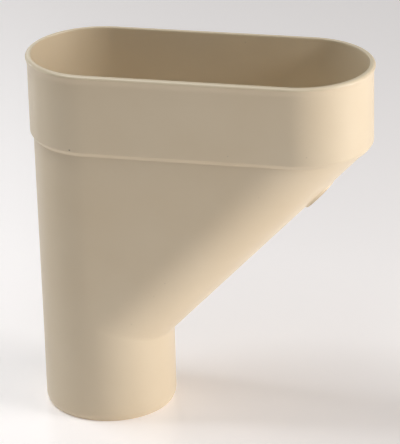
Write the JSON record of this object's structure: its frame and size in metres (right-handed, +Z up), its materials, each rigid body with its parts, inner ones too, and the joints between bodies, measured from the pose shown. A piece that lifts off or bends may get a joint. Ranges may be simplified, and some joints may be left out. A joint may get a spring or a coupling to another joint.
{
  "type": "downspout offset elbow",
  "caption": "Offset downspout fitting moulded in one piece: a long open mouth with round ends funnels rainwater down a round slope into a straight round spigot.",
  "frame": {"origin": "on the spigot's axis, at the top of its straight length, where the pipe that takes the spigot stops", "axes": "+Z up along the spigot's axis; +X along the oblong mouth, from the spigot's side towards the sloping side; +Y across it"},
  "size_m": [0.2079, 0.087, 0.2254],
  "materials": {
    "moulding": "sand-coloured rigid plastic, moulded with a soft satin gloss"
  },
  "bodies": {
    "root": {"offset_elbow": "moulding"}
  },
  "joints": []
}
